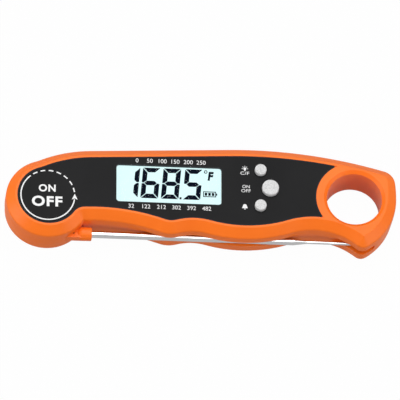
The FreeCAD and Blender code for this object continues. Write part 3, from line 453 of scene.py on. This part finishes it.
def piece(name, parts, material, body):
    """Joins parts into one closed mesh that rides on a body."""
    points = np.vstack([part[0] for part in parts])
    faces = []
    offset = 0
    for part_points, part_faces in parts:
        faces += [[index + offset for index in face] for face in part_faces]
        offset += len(part_points)
    mesh = bpy.data.meshes.new(name)
    mesh.from_pydata(points.tolist(), [], faces)
    shape = bmesh.new()
    shape.from_mesh(mesh)
    bmesh.ops.remove_doubles(shape, verts=shape.verts, dist=0.0002 * MM)
    bmesh.ops.recalc_face_normals(shape, faces=shape.faces)
    shape.to_mesh(mesh)
    shape.free()
    mesh.materials.append(material)
    mesh.polygons.foreach_set("use_smooth", np.ones(len(mesh.polygons), bool))
    mesh.set_sharp_from_angle(angle=PIECE_CREASE)
    made = bpy.data.objects.new(name, mesh)
    bpy.context.scene.collection.objects.link(made)
    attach(made, body)
    return made


white_ink = print_ink("white_ink", colour(238, 238, 238))
label_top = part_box("face_overlay")[1].z
ink_top = label_top + 0.03 * MM
head = np.array(joints["probe_fold"]["pos_m"][:2])


def printed(name, parts):
    """White print on the label."""
    return piece(name, parts, white_ink, "housing")


def word(text, centre, height, width=None, bold=0.0):
    """Type printed on the label."""
    return letters(text, centre, height, label_top, ink_top, bold, width)


def plate(corners, centre):
    """Small flat printed shape; corners in millimetres about its centre."""
    return prism(np.array(corners, float) * MM + centre, label_top, ink_top)


def disc(centre, radius, start=0.0, end=360.0):
    """Printed disc, or the part of one between two angles; radius in millimetres."""
    whole = end - start >= 360
    angles = np.radians(np.linspace(start, end, 25))[: -1 if whole else None]
    return plate(np.column_stack([np.cos(angles), np.sin(angles)]) * radius, centre)


LAP = 0.01  # millimetres by which two touching printed shapes overlap


def turn_mark():
    """Turn mark round the head: a solid arc, seven dashes and an arrowhead, with ON and OFF."""
    radius, width = 11.75 * MM, 0.55 * MM
    centre = head + np.array([-0.3, -0.1]) * MM
    arc_start, arc_end = 130, 352
    first_dash, last_dash, dashes, half_dash = 118.3, 14.0, 7, 5.1
    parts = [band(centre, radius, width, arc_start, arc_end, label_top, ink_top, 160)]
    for middle in np.linspace(first_dash, last_dash, dashes):
        parts.append(band(centre, radius, width, middle - half_dash, middle + half_dash,
                          label_top, ink_top, 10))
    tip = centre + [radius, 1.0 * MM]
    half_head, wings, notch = 1.25, -2.75, -2.2
    parts.append(plate([[LAP, -LAP], [-half_head, wings], [LAP, notch]], tip))
    parts.append(plate([[0, 0], [0, notch], [half_head, wings]], tip))
    parts.append(word("ON", centre + np.array([-0.3, 3.3]) * MM, 3.5 * MM, 7.4 * MM, 0.03))
    parts.append(word("OFF", centre + np.array([-0.3, -3.0]) * MM, 4.95 * MM, 13.3 * MM, 0.035))
    return printed("label_turn_mark", parts)


def window_scales():
    """Two rows of scale numbers, the same temperatures in Celsius and in Fahrenheit."""
    low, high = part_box("display_window")
    middle = (low.x + high.x) / 2
    celsius = range(0, 251, 50)
    rows = ((celsius, high.y + 2.05 * MM, 28.0 * MM, 1.95 * MM),
            ([degrees * 9 // 5 + 32 for degrees in celsius], low.y - 1.95 * MM, 33.0 * MM,
             1.9 * MM))
    parts = []
    for numbers, level, width, height in rows:
        places = np.linspace(middle - width / 2, middle + width / 2, len(numbers))
        for number, place in zip(numbers, places):
            parts.append(word(str(number), (place, level), height))
    return printed("label_scales", parts)


def key_marks():
    """Small marks left of the keys: a lamp over C/F, ON over OFF, and a bell."""
    middles = []
    for name in ("button_light", "button_hold", "button_alarm"):
        low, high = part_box(name)
        middles.append(np.array([low.x + high.x, low.y + high.y]) / 2)
    column = middles[0][0] - 6.85 * MM
    lamp = np.array([column, middles[0][1] + 0.75 * MM])
    parts = [disc(lamp, 0.62),
             plate([[-0.3, -1.05], [0.3, -1.05], [0.3, -0.55], [-0.3, -0.55]], lamp)]
    near, far, half_ray = 0.85, 1.4, 0.13
    for angle in np.radians((0, 45, 90, 135, 180)):
        ahead = np.array([math.cos(angle), math.sin(angle)])
        side = np.array([-ahead[1], ahead[0]]) * half_ray
        parts.append(plate([ahead * near - side, ahead * far - side,
                            ahead * far + side, ahead * near + side], lamp))
    parts.append(word("C/F", lamp - np.array([0, 2.15]) * MM, 1.5 * MM, 3.9 * MM))
    for text, level, width in (("ON", 0.65, 3.2), ("OFF", -1.35, 4.1)):
        parts.append(word(text, (column + 0.5 * MM, middles[1][1] + level * MM), 1.5 * MM,
                          width * MM))
    bell = np.array([column, middles[2][1] - 0.5 * MM])
    dome, shoulder, mouth = 0.85, 0.35, 1.25
    parts.append(disc(bell + np.array([0, shoulder]) * MM, dome, 0, 180))
    parts.append(plate([[-dome, shoulder + LAP], [-mouth, -0.75], [mouth, -0.75],
                        [dome, shoulder + LAP]], bell))
    parts.append(disc(bell - np.array([0, 0.95]) * MM, 0.4, 180, 360))
    return printed("label_key_marks", parts)


turn_mark()
window_scales()
key_marks()


def outer_loop(node):
    """Corners of a flat node's outer edge, in order, from the top of its merged copy."""
    shape = bmesh.new()
    shape.from_mesh(nodes[node].data)
    bmesh.ops.remove_doubles(shape, verts=shape.verts, dist=0.001 * MM)
    top = [face for face in shape.faces if face.normal.z > 0.9]
    inside = set(top)
    following = {}
    for face in top:
        for loop in face.loops:
            other = [near for near in loop.edge.link_faces if near is not face]
            if not other or other[0] not in inside:
                following[loop.vert] = loop.link_loop_next.vert
    rings = []
    while following:
        first, vert = next(iter(following.items()))
        ring = [first.co.to_tuple()]
        del following[first]
        while vert is not first:
            ring.append(vert.co.to_tuple())
            vert = following.pop(vert)
        rings.append(np.array(ring))
    shape.free()
    return max(rings, key=lambda ring: np.ptp(ring[:, 0]))[:, :2]


def inset_loop(loop, distance):
    """Loop moved inwards, so that each edge goes by the distance along its left normal.

    A corner goes along the sum of its two edges' normals, by the distance over one plus
    the cosine between them; the limit keeps sharp corners short.
    """
    limit = 0.4
    ahead = np.roll(loop, -1, axis=0) - loop
    ahead = ahead / np.linalg.norm(ahead, axis=1)[:, None]
    left = np.column_stack([-ahead[:, 1], ahead[:, 0]])
    both = left + np.roll(left, 1, axis=0)
    both = both / np.maximum((both * left).sum(axis=1), limit)[:, None]
    return loop + both * distance


def ring_solid(levels):
    """Closed ring: loops with the same number of corners, each at its height, joined in turn."""
    count = len(levels[0][0])
    points = np.vstack([np.column_stack([loop, np.full(count, z)]) for loop, z in levels])
    here = np.arange(count)
    after = np.roll(here, -1)
    faces = []
    for level in range(len(levels)):
        lower, upper = level * count, (level + 1) % len(levels) * count
        faces.append(np.column_stack([here + lower, after + lower, after + upper,
                                      here + upper]))
    return points, np.vstack(faces).tolist()


def flat_ring(outer, inner, low, high):
    """Closed flat frame between two loops with the same number of corners."""
    return ring_solid([(outer, low), (outer, high), (inner, high), (inner, low)])


def rounded_loop(low, high, radius):
    """Corners of a rounded rectangle, counter-clockwise, with eight along each round."""
    corners = []
    for side_x, side_y, start in ((1, -1, -90), (1, 1, 0), (-1, 1, 90), (-1, -1, 180)):
        centre = np.array([high[0] - radius if side_x > 0 else low[0] + radius,
                           high[1] - radius if side_y > 0 else low[1] + radius])
        angles = np.radians(start + np.linspace(0, 90, 8))
        corners.append(centre + radius * np.column_stack([np.cos(angles), np.sin(angles)]))
    return np.vstack(corners)


def label_edge():
    """Thin dark line round the label's edge: painted shade standing in for the shadow in the gap
    round the label.
    """
    line, thickness = 0.4 * MM, 0.02 * MM
    edge = outer_loop("face_overlay")
    inner = inset_loop(edge, line)
    # The dark ring is painted shade: it stands in for the shadow in the gap round the label.
    return piece("label_edge", [flat_ring(edge, inner, label_top, label_top + thickness)],
                 print_ink("label_gap_shade", colour(12, 20, 27)), "housing")


def window_liner():
    """Dark mask round the clear window's edge, with a dark lining down the gap beside the window;
    where they cover the gap they are painted shade.
    """
    base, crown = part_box("display_window")
    lift, gap, line = 0.02 * MM, 0.09 * MM, 0.12 * MM
    rim_radius, gap_shade_radius, inner_radius = 1.49 * MM, 1.42 * MM, 1.28 * MM
    foot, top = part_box("lcd_frame")[1].z + lift, crown.z + lift
    low, high = np.array(base[:2]), np.array(crown[:2])
    # The rim's part over the gap and the lining down the gap are painted shade, standing in for
    # the gap's shadow.
    rim = rounded_loop(low - gap, high + gap, rim_radius)
    gap_shade = rounded_loop(low - gap / 5, high + gap / 5, gap_shade_radius)
    inner = rounded_loop(low + line, high - line, inner_radius)
    return piece("window_edge_mask_and_gap_shade", [ring_solid([(rim, foot), (rim, top), (inner, top),
                                             (inner, crown.z), (gap_shade, crown.z),
                                             (gap_shade, foot)])],
                 print_ink("edge_mask_and_gap_shade", colour(24, 26, 29)), "housing")


label_edge()
window_liner()


# ---------------------------------------------------------------- housing screws

def cross_screws():
    """Housing screws with a cross recess in the head.

    At each angle the recess reaches as far as the farther of two crossed bars.
    """
    low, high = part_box("housing_screws")
    head_radius, head_height, shank_radius = 1.9 * MM, 1.4 * MM, 0.95 * MM
    depth, reach, half_bar, overlap = 0.9 * MM, 1.25 * MM, 0.32 * MM, 0.1 * MM
    angles = np.linspace(0, math.tau, 96, endpoint=False)
    ahead = np.column_stack([np.cos(angles), np.sin(angles)])
    along, beside = np.maximum(np.abs(ahead), 1e-6).T
    edge = np.maximum(np.minimum(reach / along, half_bar / beside),
                      np.minimum(half_bar / along, reach / beside))
    top = low.z + head_height
    parts = []
    for x in (low.x + head_radius, high.x - head_radius):
        for y in (low.y + head_radius, high.y - head_radius):
            centre = np.array([x, y])
            rim = centre + ahead * head_radius
            recess = centre + ahead * edge[:, None]
            parts.append(flat_ring(rim, recess, low.z, top))
            parts.append(prism(centre + ahead * (reach + overlap), low.z + depth,
                               top - overlap))
            parts.append(prism(centre + ahead * shank_radius, low.z + depth + overlap,
                               high.z))
    return piece("cross_screws", parts, screw_steel, "housing")


# ---------------------------------------------------------------- display figures

def segments(width, height, stroke, gap):
    """The seven strokes of a figure by letter, in millimetres from its lower left corner.

    Each stroke is a mitred bar: the left, the top and the middle one are given, and the
    others are their mirror images in the figure's middle lines.
    """
    middle = height / 2
    mitre, point = 1.4 * gap, stroke * 0.45
    left = [(0, height - mitre), (stroke, height - stroke - mitre),
            (stroke, middle + stroke / 2 + gap), (point, middle + gap),
            (0, middle + 1.6 * gap)]
    top = [(mitre, height), (width - mitre, height), (width - stroke - mitre, height - stroke),
           (stroke + mitre, height - stroke)]
    centre = [(point + gap, middle), (stroke + gap, middle + stroke / 2),
              (width - stroke - gap, middle + stroke / 2), (width - point - gap, middle),
              (width - stroke - gap, middle - stroke / 2), (stroke + gap, middle - stroke / 2)]

    def flip(outline, across, up):
        outline = np.array(outline, float)
        if across:
            outline[:, 0] = width - outline[:, 0]
        if up:
            outline[:, 1] = height - outline[:, 1]
        return outline

    return {"f": flip(left, 0, 0), "b": flip(left, 1, 0), "e": flip(left, 0, 1),
            "c": flip(left, 1, 1), "a": flip(top, 0, 0), "d": flip(top, 0, 1),
            "g": flip(centre, 0, 0)}


def box_outline(left, bottom, right, top):
    """Corners of an upright rectangle."""
    return np.array([[left, bottom], [right, bottom], [right, top], [left, top]])


def display_figures():
    """Slanted figures with their point, the degree sign with its F, and a battery sign.

    The figures lean over by a share of their height.
    """
    glass_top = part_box("lcd_glass")[1].z
    window_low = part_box("display_window")[0]
    corner = np.array([window_low.x, window_low.y])
    floor, roof = glass_top + 0.01 * MM, glass_top + 0.07 * MM

    def ink(outline, centre):
        return prism(np.array(outline) * MM + centre, floor, roof)

    strokes = segments(7.75, 14.6, 2.12, 0.17)
    lean, base = 0.085, 2.5
    figures = ((1.65, "bc"), (10.6, "afgedc"), (19.55, "abcdefg"), (29.05, "afgcd"))
    parts = []
    for start, lit in figures:
        for letter in lit:
            outline = strokes[letter].copy()
            outline[:, 0] += start + outline[:, 1] * lean
            outline[:, 1] += base
            parts.append(ink(outline, corner))
    point = np.array([28.2, base + 0.5]) * MM + corner
    parts.append(ink([[-0.45, -0.5], [0.4, -0.5], [0.48, 0.5], [-0.37, 0.5]], point))
    parts.append(letters("F", corner + np.array([41.4, 14.1]) * MM, 4.25 * MM, floor, roof,
                         0.055, 2.7 * MM, 0.15))
    turn = np.linspace(0, math.tau, 32, endpoint=False)
    circle = np.column_stack([np.cos(turn), np.sin(turn)])
    degree, outer, inner = corner + np.array([39.25, 16.1]) * MM, 0.8 * MM, 0.44 * MM
    parts.append(flat_ring(degree + circle * outer, degree + circle * inner, floor, roof))
    cell = corner + np.array([41.2, 5.4]) * MM
    outline = box_outline(-2.9, -1.15, 2.4, 1.15) * MM
    half_rule = 0.18 * MM
    parts.append(flat_ring(cell + inset_loop(outline, -half_rule),
                           cell + inset_loop(outline, half_rule), floor, roof))
    parts.append(ink(box_outline(2.5, -0.5, 3.05, 0.5), cell))
    first_bar, bar_pitch, bar_width, half_bar = -2.4, 1.55, 1.1, 0.7
    for bar in range(3):
        left = first_bar + bar * bar_pitch
        parts.append(ink(box_outline(left, -half_bar, left + bar_width, half_bar), cell))
    return piece("display_figures", parts, print_ink("display_ink", colour(1, 6, 24), 0.02),
                 "housing")


display_figures()
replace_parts(cross_screws(), "housing_screws")


# ---------------------------------------------------------------- stage, light and camera

def stage():
    """Pale floor that shows white to the camera and still takes a soft shadow."""
    finish = Finish("pale_floor")
    seen = finish.ray("Camera").greater(finish.ray("Transmission"))
    seen = seen.greater(finish.ray("Glossy") * 0.55)
    paper = finish.node("ShaderNodeBsdfDiffuse", {}, {"Color": (0.3, 0.3, 0.3, 1.0)})
    white = finish.node("ShaderNodeEmission", {}, {"Color": (1.0, 1.0, 1.0, 1.0),
                                                   "Strength": 1.02})
    finish.end(finish.node("ShaderNodeMixShader", {}, {0: seen * 0.96, 1: paper, 2: white}))
    half, drop = 12.0, 0.05 * MM
    mesh = bpy.data.meshes.new("floor")
    mesh.from_pydata([(-half, -half, 0), (half, -half, 0), (half, half, 0), (-half, half, 0)],
                     [], [(0, 1, 2, 3)])
    mesh.materials.append(finish.material)
    floor = bpy.data.objects.new("floor", mesh)
    floor.location.z = cad_bounds[0].z - drop
    bpy.context.scene.collection.objects.link(floor)


HORIZON = 0.9
ZENITH = 0.34


def world():
    """Even studio surround: brighter at the horizon than overhead, and pale to the camera."""
    scene = bpy.context.scene
    scene.world = bpy.data.worlds.new("studio")
    graph = Graph(scene.world, "ShaderNodeOutputWorld")
    ahead = graph.node("ShaderNodeTexCoord", {}, {}, "Generated")
    upward = graph.node("ShaderNodeSeparateXYZ", {}, {"Vector": ahead}, "Z")
    sky = graph.node("ShaderNodeMapRange", {}, {
        "Value": upward, "From Max": 0.45, "To Min": HORIZON, "To Max": ZENITH})
    seen = graph.ray("Camera").greater(graph.ray("Glossy") * 0.85)
    seen = seen.greater(graph.ray("Transmission"))
    graph.end(graph.node("ShaderNodeBackground", {}, {"Strength": sky.greater(seen)}))


def lamp(name, place, size, power):
    """Square soft lamp aimed at the middle of the floor."""
    data = bpy.data.lights.new(name, "AREA")
    data.size = size
    data.energy = power
    made = bpy.data.objects.new(name, data)
    made.location = place
    made.rotation_euler = (-Vector(place)).to_track_quat("-Z", "Y").to_euler()
    bpy.context.scene.collection.objects.link(made)


def camera():
    """Long lens looking down on the face, turned a little to the right and rolled."""
    azimuth, elevation, roll = (math.radians(angle) for angle in (-10.43, 64.56, 11.56))
    distance, view_width = 6.0, 174.37 * MM
    target = Vector((-0.92, -3.93, 18.0)) * MM
    back = Vector((math.sin(azimuth) * math.cos(elevation),
                   -math.cos(azimuth) * math.cos(elevation), math.sin(elevation)))
    level = Vector((math.cos(azimuth), math.sin(azimuth), 0))
    upright = back.cross(level)
    right = level * math.cos(roll) + upright * math.sin(roll)
    up = upright * math.cos(roll) - level * math.sin(roll)
    data = bpy.data.cameras.new("camera")
    data.sensor_width = 36.0
    data.lens = data.sensor_width * distance / view_width
    data.clip_end = 40.0
    made = bpy.data.objects.new("camera", data)
    made.matrix_world = Matrix.Translation(target + back * distance) @ Matrix(
        (right, up, back)).transposed().to_4x4()
    bpy.context.scene.collection.objects.link(made)
    bpy.context.scene.camera = made


stage()
world()
lamp("overhead", (0.1, -0.1, 0.87), 0.6, 3.2)
lamp("back", (-0.05, 0.4, 0.8), 0.5, 2.9)
lamp("left", (-0.8, -0.2, 0.22), 0.5, 3.0)
lamp("right", (0.7, -0.4, 0.22), 0.5, 1.9)
camera()
bpy.context.scene.view_settings.view_transform = "Standard"
